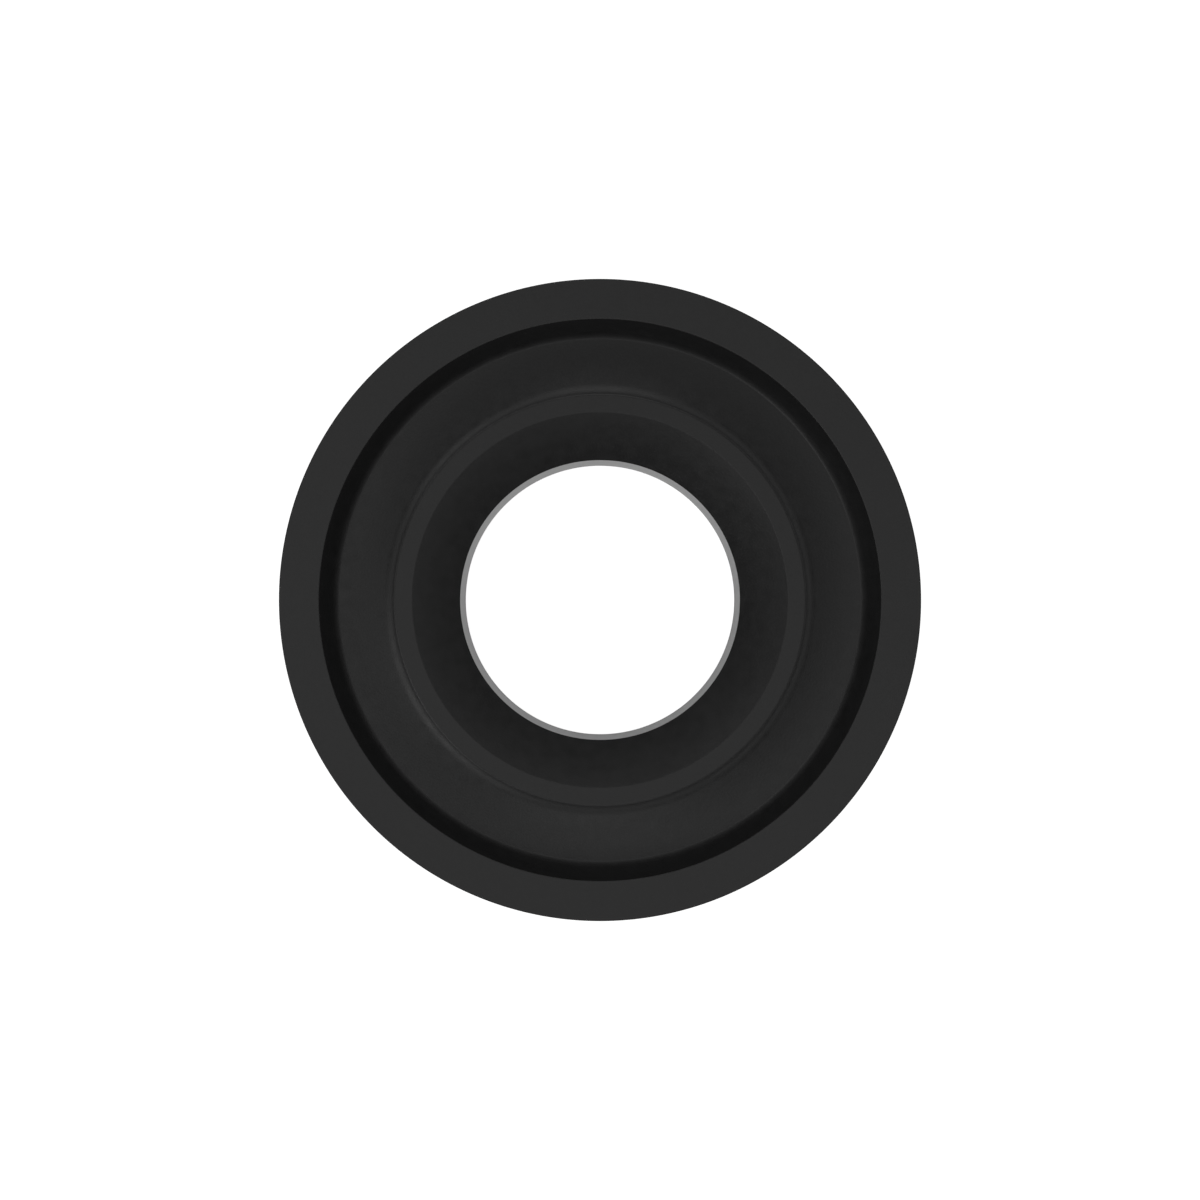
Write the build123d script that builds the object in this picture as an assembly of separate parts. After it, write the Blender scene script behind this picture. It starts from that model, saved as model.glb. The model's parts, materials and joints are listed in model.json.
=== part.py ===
"""Flanged bushing: a moulded polymer body with a metal sleeve lining its bore.

The frame's origin is the centre of the barrel's lower end, on the bore's axis.  +Z runs up the bore,
out through the flange.  Every length is in millimetres and every angle in degrees.
"""

import math
import os

from build123d import *

# ---- Liner: a plain metal sleeve that the shaft runs in ------------------------------------------
bore_d = 16.0
liner_wall = 1.0
liner_length = 8.0
liner_lead_in = 0.15  # chamfer on the sleeve's outer edges, so that it enters its seat

# ---- Fit between the two pieces ------------------------------------------------------------------
bond_gap = 0.02  # film of retaining adhesive round the sleeve, on the radius

# ---- Barrel: the part of the body that goes through the panel ------------------------------------
barrel_d = 24.0
barrel_length = 6.5  # from the lower end to the flange's seat face
barrel_lead_in = 0.8  # chamfer on the end that enters the panel's hole
barrel_root_fillet = 0.5

# ---- Flange: a thick disc with a raised rim ------------------------------------------------------
flange_d = 36.0
flange_thickness = 5.6
flange_edge_radius = 0.6  # rounds the seat face's outer edge
rim_face_width = 2.25  # flat ring between the flange's outside and the recess

# ---- Recess: the ring-shaped hollow between the rim and the collar -------------------------------
rim_wall_batter = 0.95  # how far in the wall leans, from the rim face to the floor
rim_cove_radius = 0.95  # hollow at the wall's foot
rim_cove_top_angle = 67.0  # slope at which the wall goes over into that hollow
rim_cove_foot_angle = 35.0  # slope at which the hollow meets the floor
floor_outer_angle = 3.0  # the floor is dished: this steep beside the rim
floor_inner_angle = 13.0  # and this steep where the collar's cove takes over

# ---- Collar and bell mouth round the bore --------------------------------------------------------
collar_drop = 1.7  # from the rim face down to the collar's face
collar_face_width = 0.99
collar_edge_angle = 37.0  # slope of the cove where it meets the collar's face
collar_cove_radius = 1.65  # hollow between the collar's face and the floor
mouth_lip_angle = 39.4  # the mouth is rounded: this steep at the collar's face
mouth_throat_angle = 45.4  # and this steep where it meets the sleeve


def slope(lower_angle, upper_angle):
    """Rise over run of an arc's chord, from the arc's slopes at its two ends."""
    return math.tan(math.radians((lower_angle + upper_angle) / 2))


def arc_span(radius, slope_in, slope_out):
    """Run and rise of an arc between two slopes, each counted as positive."""
    a, b = math.radians(slope_in), math.radians(slope_out)
    return radius * abs(math.sin(b) - math.sin(a)), radius * abs(math.cos(b) - math.cos(a))


def arc_through(start, end, turn):
    """Arc from start to end that turns through turn degrees, to the left where turn is positive."""
    (x0, y0), (x1, y1) = start, end
    bulge = math.tan(math.radians(turn) / 4) / 2  # sagitta over chord
    middle = ((x0 + x1) / 2 + bulge * (y1 - y0), (y0 + y1) / 2 - bulge * (x1 - x0))
    return ThreePointArc(start, middle, end)


def make_bushing_body():
    """The moulding: one closed section, revolved about the bore's axis."""
    throat_r = bore_d / 2
    seat_r = throat_r + liner_wall + bond_gap
    barrel_r = barrel_d / 2
    flange_r = flange_d / 2
    face_z = barrel_length + flange_thickness
    collar_z = face_z - collar_drop
    throat_z = liner_length

    mouth_flare = (collar_z - throat_z) / slope(mouth_lip_angle, mouth_throat_angle)
    collar_inner_r = throat_r + mouth_flare
    collar_r = collar_inner_r + collar_face_width

    cove_run, cove_fall = arc_span(collar_cove_radius, collar_edge_angle, floor_inner_angle)
    cove_foot_r, cove_foot_z = collar_r + cove_run, collar_z - cove_fall

    rim_r = flange_r - rim_face_width
    floor_edge_r = rim_r - rim_wall_batter
    floor_z = cove_foot_z - (floor_edge_r - cove_foot_r) * slope(floor_outer_angle, floor_inner_angle)
    rim_cove_run, rim_cove_rise = arc_span(rim_cove_radius, rim_cove_foot_angle, rim_cove_top_angle)
    wall_foot_r, wall_foot_z = floor_edge_r + rim_cove_run, floor_z + rim_cove_rise
    wall_angle = math.degrees(math.atan2(face_z - wall_foot_z, rim_r - wall_foot_r))

    throat = (throat_r, throat_z)
    shoulder = (seat_r, throat_z)
    barrel_end = (barrel_r, 0)
    barrel_root = (barrel_r, barrel_length)
    seat_edge = (flange_r, barrel_length)
    rim_edge = (rim_r, face_z)
    wall_foot = (wall_foot_r, wall_foot_z)
    floor_edge = (floor_edge_r, floor_z)
    cove_foot = (cove_foot_r, cove_foot_z)
    collar_edge = (collar_r, collar_z)
    lip = (collar_inner_r, collar_z)

    with BuildPart() as body:
        with BuildSketch(Plane.XZ) as section:
            with BuildLine():
                Polyline(throat, shoulder, (seat_r, 0), barrel_end, barrel_root, seat_edge,
                         (flange_r, face_z), rim_edge)
                arc_through(rim_edge, wall_foot, 2 * (rim_cove_top_angle - wall_angle))
                arc_through(wall_foot, floor_edge, rim_cove_foot_angle - rim_cove_top_angle)
                arc_through(floor_edge, cove_foot, floor_outer_angle - floor_inner_angle)
                arc_through(cove_foot, collar_edge, floor_inner_angle - collar_edge_angle)
                Line(collar_edge, lip)
                arc_through(lip, throat, mouth_throat_angle - mouth_lip_angle)
            make_face()

            def corner(point):
                return section.vertices().sort_by_distance(point)[0]

            chamfer(corner(barrel_end), barrel_lead_in)
            fillet(corner(barrel_root), barrel_root_fillet)
            fillet(corner(seat_edge), flange_edge_radius)
        revolve(axis=Axis.Z)
    return body.part


def make_bore_liner():
    """The sleeve.  It reaches from the barrel's end to the shoulder under the mouth."""
    bore_r = bore_d / 2
    with BuildPart() as liner:
        Cylinder(bore_r + liner_wall, liner_length, align=(Align.CENTER, Align.CENTER, Align.MIN))
        chamfer(liner.edges(), liner_lead_in)
        Cylinder(bore_r, liner_length, align=(Align.CENTER, Align.CENTER, Align.MIN), mode=Mode.SUBTRACT)
    return liner.part


os.makedirs("parts", exist_ok=True)
export_step(make_bushing_body(), "parts/bushing_body.step")
export_step(make_bore_liner(), "parts/bore_liner.step")
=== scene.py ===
"""Flanged bushing: a black moulded body with a grey metal sleeve, standing on the end of its barrel."""

import json
import math

import bpy
import numpy as np
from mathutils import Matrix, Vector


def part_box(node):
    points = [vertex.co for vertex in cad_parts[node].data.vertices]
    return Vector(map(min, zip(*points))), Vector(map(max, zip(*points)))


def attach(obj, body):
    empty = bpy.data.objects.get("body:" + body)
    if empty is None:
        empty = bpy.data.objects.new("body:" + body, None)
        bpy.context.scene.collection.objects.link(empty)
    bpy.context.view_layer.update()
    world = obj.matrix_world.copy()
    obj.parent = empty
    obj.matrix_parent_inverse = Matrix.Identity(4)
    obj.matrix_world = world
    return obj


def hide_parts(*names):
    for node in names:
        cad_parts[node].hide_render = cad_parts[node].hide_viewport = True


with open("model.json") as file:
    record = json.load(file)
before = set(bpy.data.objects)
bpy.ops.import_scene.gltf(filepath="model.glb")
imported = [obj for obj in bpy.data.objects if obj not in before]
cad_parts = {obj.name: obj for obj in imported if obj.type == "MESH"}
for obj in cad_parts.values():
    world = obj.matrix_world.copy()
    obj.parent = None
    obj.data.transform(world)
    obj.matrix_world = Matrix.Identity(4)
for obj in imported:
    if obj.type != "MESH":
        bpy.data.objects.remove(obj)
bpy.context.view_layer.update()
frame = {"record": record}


# ==== Bushing body ====================================================================================
# One moulding in satin black acetal: flange, raised rim, collar and barrel are a single piece.  Its
# cavity was spark-eroded, which leaves a very fine dull grain on every face.  The recess is coved and
# the mouth is rounded, so that nothing that runs over them is cut.

mounts = {mount["name"]: mount for mount in frame["record"]["mounts"]}
body_low, body_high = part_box("bushing_body")

bore_r = mounts["shaft_bore"]["dims"]["r_mm"] / 1000
sleeve_length = mounts["shaft_bore"]["dims"]["length_mm"] / 1000
barrel_r = mounts["barrel"]["dims"]["r_mm"] / 1000
seat_z = mounts["flange_seat"]["pos_m"][2]
face_z = body_high.z
flange_r = min(body_high.x, -body_low.x)

sleeve_wall = 0.0010
bond_gap = 0.00002
barrel_lead_in = 0.0008
barrel_root_fillet = 0.0005
flange_edge_radius = 0.0006
rim_face_width = 0.00225
rim_wall_batter = 0.00095
rim_cove_radius = 0.00095  # the hollow at the foot of the rim's wall
rim_cove_angles = (35.0, 67.0)  # its slopes in degrees, at the floor and where the wall begins
floor_angles = (3.0, 13.0)  # beside the rim and where the collar's cove takes over
collar_drop = 0.00170  # the collar's face lies so far below the rim's
collar_face_width = 0.00099
collar_edge_angle = 37.0
collar_cove_radius = 0.00165
mouth_angles = (39.4, 45.4)  # at the lip and at the throat
collar_edge_round = 0.0002
crisp_edge = 0.00006  # rounding that a moulded edge has where it looks sharp
fine_edge = 0.000005  # at the mouth's thin lip over the sleeve, and in the crease at the wall's foot


def mean_slope(angles):
    """Rise over run of an arc's chord: the tangent of the mean of its two end slopes."""
    return math.tan(math.radians(sum(angles) / 2))


def arc_span(radius, angles):
    """How far an arc between two slopes goes sideways, and how far up."""
    low, high = np.radians(angles)
    return radius * (math.sin(high) - math.sin(low)), radius * (math.cos(low) - math.cos(high))


def arc(start, end, turn, t):
    """Points at the fractions t of an arc's length, as complex numbers: radius + 1j * height.

    The arc turns through turn degrees to the left.  The part of it up to t has a chord as long as the
    whole chord times sin(t * turn / 2) / sin(turn / 2), turned back by (1 - t) * turn / 2.  Written
    with sinc, the quotient is t itself on a straight side.
    """
    half = math.radians(turn) / 2
    length = t * np.sinc(t * half / np.pi) / np.sinc(half / np.pi)
    return start + (end - start) * length * np.exp(-1j * (1 - t) * half)


def rounded_outline(corners, turns, radii, side_steps=14, corner_steps=10):
    """A closed outline: arcs between the corners, with a round of the given radius at each corner.

    Each side is cut short by radius * tan(half the corner's turn) at both ends.  A cubic curve joins
    the cut ends, along the sides' own directions there, with handles of 4/3 * tan(a quarter of the
    turn) radii, which is a circular arc to within a few ten-thousandths.  Where the radius is zero, the
    two sides run into each other without a bend.  Points gather towards the ends of a side by a cosine
    law, so that shading stays flat between them.
    """
    corners = np.array(corners)
    ends = np.roll(corners, -1)
    turns = np.array(turns, float)
    radii = np.array(radii, float)
    lengths = np.abs(ends - corners)
    half_turns = np.radians(turns) / 2
    leave = np.angle(ends - corners) - half_turns
    arrive = np.angle(ends - corners) + half_turns
    corner_turn = np.angle(np.exp(1j * (leave - np.roll(arrive, 1))))
    cut = np.abs(radii * np.tan(corner_turn / 2))
    first = cut / lengths
    last = 1 - np.roll(cut, -1) / lengths

    ease = (1 - np.cos(np.pi * np.arange(side_steps + 1) / side_steps)) / 2
    u = np.arange(1, corner_steps) / corner_steps
    pieces = []
    for i in range(len(corners)):
        j = (i + 1) % len(corners)
        side = arc(corners[i], ends[i], turns[i], first[i] + (last[i] - first[i]) * ease)
        pieces.append(side if radii[i] > 0 else side[1:])
        if radii[j] == 0:
            continue
        onward = arc(corners[j], ends[j], turns[j], np.array([first[j]]))[0]
        heading = np.exp(1j * (leave[i] + 2 * half_turns[i] * last[i]))
        next_heading = np.exp(1j * (leave[j] + 2 * half_turns[j] * first[j]))
        handle = radii[j] * (4 / 3) * math.tan(abs(np.angle(next_heading / heading)) / 4)
        inner = side[-1] + handle * heading
        outer = onward - handle * next_heading
        pieces.append(
            side[-1] * (1 - u) ** 3
            + 3 * inner * u * (1 - u) ** 2
            + 3 * outer * u**2 * (1 - u)
            + onward * u**3
        )
    return np.concatenate(pieces)


def turned_mesh(name, outline, around=288):
    """A closed surface of revolution: the outline's point s, carried round the Z axis by the angle a.

    x = radius(s) * cos(a), y = radius(s) * sin(a), z = height(s), on a grid that closes on itself both
    ways, so that it has no seam and no pole.  The outline runs anticlockwise in the radius-height
    plane, which turns every face outwards.
    """
    angle = 2 * np.pi * np.arange(around) / around
    radius, height = outline.real[:, None], outline.imag[:, None]
    grid = np.stack([radius * np.cos(angle), radius * np.sin(angle), height + 0 * angle], axis=-1)
    index = np.arange(grid.shape[0] * around).reshape(grid.shape[0], around)
    beside = np.roll(index, -1, axis=1)
    quads = np.stack([index, beside, np.roll(beside, -1, axis=0), np.roll(index, -1, axis=0)], axis=-1)

    mesh = bpy.data.meshes.new(name)
    mesh.from_pydata(grid.reshape(-1, 3), [], quads.reshape(-1, 4))
    mesh.shade_smooth()
    piece = bpy.data.objects.new(name, mesh)
    bpy.context.scene.collection.objects.link(piece)
    return piece


throat_z = sleeve_length
collar_z = face_z - collar_drop
collar_inner_r = bore_r + (collar_z - throat_z) / mean_slope(mouth_angles)
collar_r = collar_inner_r + collar_face_width
cove_run, cove_fall = arc_span(collar_cove_radius, (floor_angles[1], collar_edge_angle))
cove_foot_r, cove_foot_z = collar_r + cove_run, collar_z - cove_fall
rim_r = flange_r - rim_face_width
floor_edge_r = rim_r - rim_wall_batter
floor_z = cove_foot_z - (floor_edge_r - cove_foot_r) * mean_slope(floor_angles)
rim_cove_run, rim_cove_rise = arc_span(rim_cove_radius, rim_cove_angles)
wall_foot_r, wall_foot_z = floor_edge_r + rim_cove_run, floor_z + rim_cove_rise
wall_angle = math.degrees(math.atan2(face_z - wall_foot_z, rim_r - wall_foot_r))
seat_r = bore_r + sleeve_wall + bond_gap

body_sides = [  # corner (radius, height), turn of the side that follows it, rounding of the corner
    (complex(bore_r, throat_z), 0, fine_edge),
    (complex(seat_r, throat_z), 0, crisp_edge),
    (complex(seat_r, 0), 0, crisp_edge),
    (complex(barrel_r - barrel_lead_in, 0), 0, crisp_edge),
    (complex(barrel_r, barrel_lead_in), 0, crisp_edge),
    (complex(barrel_r, seat_z), 0, barrel_root_fillet),
    (complex(flange_r, seat_z), 0, flange_edge_radius),
    (complex(flange_r, face_z), 0, crisp_edge),
    (complex(rim_r, face_z), 2 * (rim_cove_angles[1] - wall_angle), crisp_edge),
    (complex(wall_foot_r, wall_foot_z), rim_cove_angles[0] - rim_cove_angles[1], 0),
    (complex(floor_edge_r, floor_z), floor_angles[0] - floor_angles[1], fine_edge),
    (complex(cove_foot_r, cove_foot_z), floor_angles[1] - collar_edge_angle, 0),
    (complex(collar_r, collar_z), 0, collar_edge_round),
    (complex(collar_inner_r, collar_z), mouth_angles[1] - mouth_angles[0], crisp_edge),
]
body = turned_mesh("body_moulding", rounded_outline(*zip(*body_sides)))


def fine_grain_group():
    """Noise of two sizes: a fine one as height for a bump, a slow one as mottle for tint and gloss."""
    group = bpy.data.node_groups.new("fine_grain", "ShaderNodeTree")
    for name, in_out, kind in (
        ("Position", "INPUT", "NodeSocketVector"),
        ("Grains per metre", "INPUT", "NodeSocketFloat"),
        ("Patches per metre", "INPUT", "NodeSocketFloat"),
        ("Height", "OUTPUT", "NodeSocketFloat"),
        ("Mottle", "OUTPUT", "NodeSocketFloat"),
    ):
        group.interface.new_socket(name=name, in_out=in_out, socket_type=kind)
    nodes, links = group.nodes, group.links
    inputs = nodes.new("NodeGroupInput")
    outputs = nodes.new("NodeGroupOutput")
    for density, result, detail, roughness in (
        ("Grains per metre", "Height", 3.0, 0.6),
        ("Patches per metre", "Mottle", 4.0, 0.5),
    ):
        noise = nodes.new("ShaderNodeTexNoise")
        noise.inputs["Detail"].default_value = detail
        noise.inputs["Roughness"].default_value = roughness
        links.new(inputs.outputs["Position"], noise.inputs["Vector"])
        links.new(inputs.outputs[density], noise.inputs["Scale"])
        links.new(noise.outputs["Fac"], outputs.inputs[result])
    return group


fine_grain = fine_grain_group()
mottle_range = (0.3, 0.7)  # nearly all that the slow noise reaches


def graded(tree, source, start, end, low=0.0, high=1.0):
    """A node whose result goes evenly from low to high as the source goes from start to end."""
    node = tree.nodes.new("ShaderNodeMapRange")
    node.inputs["From Min"].default_value = start
    node.inputs["From Max"].default_value = end
    node.inputs["To Min"].default_value = low
    node.inputs["To Max"].default_value = high
    tree.links.new(source, node.inputs["Value"])
    return node


def grained_material(
    name,
    metallic,
    specular,
    tints,
    roughness,
    grain_depth,
    grains_per_metre,
    patches_per_metre,
    grain_run=1,
):
    """A material whose tint and gloss follow the fine grain's mottle, and whose relief is its grain.

    The tint is the first of its pair where the mottle is 0 and the second where it is 1.  Roughness
    goes through its pair over the mottle's usual range.  The grain is grain_depth metres deep, and it
    and the mottle are grain_run times as long across the Z axis as along it.
    """
    material = bpy.data.materials.new(name)
    material.use_nodes = True
    tree = material.node_tree
    nodes, links = tree.nodes, tree.links
    shader = nodes["Principled BSDF"]
    shader.inputs["Metallic"].default_value = metallic
    shader.inputs["Specular IOR Level"].default_value = specular

    place = nodes.new("ShaderNodeTexCoord")
    stretch = nodes.new("ShaderNodeMapping")
    stretch.inputs["Scale"].default_value = (1 / grain_run, 1 / grain_run, 1)
    grain = nodes.new("ShaderNodeGroup")
    grain.node_tree = fine_grain
    grain.inputs["Grains per metre"].default_value = grains_per_metre
    grain.inputs["Patches per metre"].default_value = patches_per_metre
    links.new(place.outputs["Object"], stretch.inputs["Vector"])
    links.new(stretch.outputs["Vector"], grain.inputs["Position"])

    tint = nodes.new("ShaderNodeMix")
    tint.data_type = "RGBA"
    tint.inputs["A"].default_value = (*tints[0], 1)
    tint.inputs["B"].default_value = (*tints[1], 1)
    links.new(grain.outputs["Mottle"], tint.inputs["Factor"])
    links.new(tint.outputs["Result"], shader.inputs["Base Color"])

    gloss = graded(tree, grain.outputs["Mottle"], *mottle_range, *roughness)
    links.new(gloss.outputs["Result"], shader.inputs["Roughness"])

    relief = nodes.new("ShaderNodeBump")
    relief.inputs["Strength"].default_value = 1.0
    relief.inputs["Distance"].default_value = grain_depth
    links.new(grain.outputs["Height"], relief.inputs["Height"])
    links.new(relief.outputs["Normal"], shader.inputs["Normal"])
    return material


black_acetal = grained_material(
    "black_acetal",
    metallic=0.0,
    specular=0.6,
    tints=((0.0060, 0.0060, 0.0061), (0.0154, 0.0154, 0.0157)),
    roughness=(0.32, 0.40),
    grain_depth=0.000007,
    grains_per_metre=8000.0,
    patches_per_metre=1500.0,
)
body.data.materials.append(black_acetal)

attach(body, "root")
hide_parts("bushing_body")


# ==== Bore liner ======================================================================================
# A plain steel sleeve with a wall of one millimetre.  It is turned, so fine tool lines run round it.
# It was pushed into its seat from the barrel's end, up against the shoulder under the mouth, and is
# held there by a film of adhesive.

sleeve_outer_r = bore_r + sleeve_wall
sleeve_lead_in = 0.00015
bore_edge = 0.00002

liner_sides = [  # in the same terms as the body's
    (complex(bore_r, sleeve_length), 0, bore_edge),
    (complex(bore_r, 0), 0, bore_edge),
    (complex(sleeve_outer_r - sleeve_lead_in, 0), 0, bore_edge),
    (complex(sleeve_outer_r, sleeve_lead_in), 0, bore_edge),
    (complex(sleeve_outer_r, sleeve_length - sleeve_lead_in), 0, bore_edge),
    (complex(sleeve_outer_r - sleeve_lead_in, sleeve_length), 0, bore_edge),
]
liner = turned_mesh("steel_sleeve", rounded_outline(*zip(*liner_sides)))

turned_steel = grained_material(
    "turned_steel",
    metallic=1.0,
    specular=0.5,
    tints=((0.60, 0.60, 0.60), (0.74, 0.74, 0.74)),
    roughness=(0.38, 0.48),
    grain_depth=0.000003,
    grains_per_metre=9000.0,
    patches_per_metre=2200.0,
    grain_run=30,
)
liner.data.materials.append(turned_steel)

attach(liner, "root")
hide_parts("bore_liner")


# ==== Table ===========================================================================================
# A plain white table top, white to the camera too.  Reflections that look straight down at it, as those
# in the sleeve's wall do, see a painted glow under the bore, stronger in the north: emission that only
# glossy rays see, no lamp's light, which paints a reflection of light into the sleeve's wall.

table_half_width = 3.0
table_tone = 0.8
table_roughness = 0.9
camera_lift = 0.87  # what the camera sees on top of the light that falls on the table
# Painted light: the glow set by the next three numbers is emission that only reflections see, not light
# from a lamp.
painted_glow_heading = (-0.45, 0.89, 0)  # from the bore's southern edge to its northern one
painted_glow_at_edges = (0.13, 0.35)  # at those two edges
painted_glow_slants = (0.20, 0.02)  # how far from straight down a reflection looks: no glow yet, full glow

bpy.ops.mesh.primitive_plane_add(size=2 * table_half_width, location=(0, 0, 0))
table = bpy.context.object
table.name = "table_top"
white = bpy.data.materials.new("white_table")
white.use_nodes = True
tree = white.node_tree
nodes, links = tree.nodes, tree.links
shader = nodes["Principled BSDF"]
shader.inputs["Base Color"].default_value = (table_tone, table_tone, table_tone, 1)
shader.inputs["Roughness"].default_value = table_roughness
shader.inputs["Emission Color"].default_value = (1, 1, 1, 1)
place = nodes.new("ShaderNodeTexCoord")
painted_glow_northward = nodes.new("ShaderNodeVectorMath")
painted_glow_northward.operation = "DOT_PRODUCT"
painted_glow_northward.inputs[1].default_value = painted_glow_heading
links.new(place.outputs["Object"], painted_glow_northward.inputs[0])
# Painted glow: emission for glossy rays only, rising from south to north under the bore, full for
# reflections looking straight down.
painted_glow_under_bore = graded(tree, painted_glow_northward.outputs["Value"], -bore_r, bore_r, *painted_glow_at_edges)
slant = nodes.new("ShaderNodeLayerWeight")
painted_glow_by_slant = graded(tree, slant.outputs["Facing"], *painted_glow_slants)
painted_glow_by_slant.interpolation_type = "SMOOTHSTEP"
links.new(painted_glow_under_bore.outputs["Result"], painted_glow_by_slant.inputs["To Max"])
rays = nodes.new("ShaderNodeLightPath")
painted_reflection = nodes.new("ShaderNodeMath")
painted_reflection.operation = "MULTIPLY"
links.new(rays.outputs["Is Glossy Ray"], painted_reflection.inputs[0])
links.new(painted_glow_by_slant.outputs["Result"], painted_reflection.inputs[1])
seen = nodes.new("ShaderNodeMath")
seen.operation = "MULTIPLY_ADD"
seen.inputs[1].default_value = camera_lift
links.new(rays.outputs["Is Camera Ray"], seen.inputs[0])
links.new(painted_reflection.outputs["Value"], seen.inputs[2])
links.new(seen.outputs["Value"], shader.inputs["Emission Strength"])
table.data.materials.append(white)


# ==== Light ===========================================================================================
# Soft boxes stand round the table, and the walls give a pale fill.  Each box is named for where it
# stands: degrees round from +X, degrees above the table, and how bright its cloth is.

box_distance = 0.60
box_width = 0.25
box_area = math.pi * (box_width / 2) ** 2
soft_boxes = {
    "west": (202, 45, 0.92),
    "south_west": (225, 35, 0.71),
    "north": (90, 45, 0.77),
    "north_west": (135, 35, 0.44),
    "south": (270, 60, 0.69),
    "over_the_west": (180, 75, 0.44),
    "over_the_east": (338, 75, 0.35),
}
for name, (round_from_x, above, brightness) in soft_boxes.items():
    lamp = bpy.data.lights.new(name, "AREA")
    lamp.shape = "DISK"
    lamp.size = box_width
    lamp.energy = brightness * math.pi * box_area  # all that a matt cloth of that brightness sends out
    holder = bpy.data.objects.new(name, lamp)
    a, e = math.radians(round_from_x), math.radians(above)
    holder.location = (
        box_distance * math.cos(e) * math.cos(a),
        box_distance * math.cos(e) * math.sin(a),
        box_distance * math.sin(e),
    )
    holder.rotation_euler = (0, math.pi / 2 - e, a)
    holder.visible_camera = False
    bpy.context.scene.collection.objects.link(holder)

room_glow = {0.0: 0.0, 0.25: 0.22, 0.5: 0.84, 0.75: 0.0, 1.0: 0.38}  # sine of the height: strength

world = bpy.data.worlds.new("pale_room")
bpy.context.scene.world = world
world.use_nodes = True
tree = world.node_tree
nodes, links = tree.nodes, tree.links
backdrop = nodes["Background"]
backdrop.inputs["Color"].default_value = (1, 1, 1, 1)
direction = nodes.new("ShaderNodeTexCoord")
along = nodes.new("ShaderNodeSeparateXYZ")
glow = nodes.new("ShaderNodeValToRGB")
while len(glow.color_ramp.elements) < len(room_glow):
    glow.color_ramp.elements.new(0.5)
for stop, (height, strength) in zip(glow.color_ramp.elements, room_glow.items()):
    stop.position = height
    stop.color = (strength, strength, strength, 1)
rays = nodes.new("ShaderNodeLightPath")
room = graded(tree, rays.outputs["Is Camera Ray"], 0, 1)
links.new(direction.outputs["Generated"], along.inputs["Vector"])
links.new(along.outputs["Z"], glow.inputs["Fac"])
links.new(glow.outputs["Color"], room.inputs["To Min"])
links.new(room.outputs["Result"], backdrop.inputs["Strength"])


# ==== Camera ==========================================================================================
# Straight above the bushing, on the axis of its bore, through a long lens.  It stands near enough for
# the sleeve's wall to show as a thin ring.

lens_mm = 100.0
sensor_mm = 36.0
near_limit = 0.01
camera_height = 0.1867  # above the rim face

camera_data = bpy.data.cameras.new("camera")
camera_data.lens = lens_mm
camera_data.sensor_width = sensor_mm
camera_data.clip_start = near_limit
camera = bpy.data.objects.new("camera", camera_data)
camera.location = (0, 0, face_z + camera_height)
bpy.context.scene.collection.objects.link(camera)
bpy.context.scene.camera = camera
bpy.context.scene.view_settings.view_transform = "Standard"
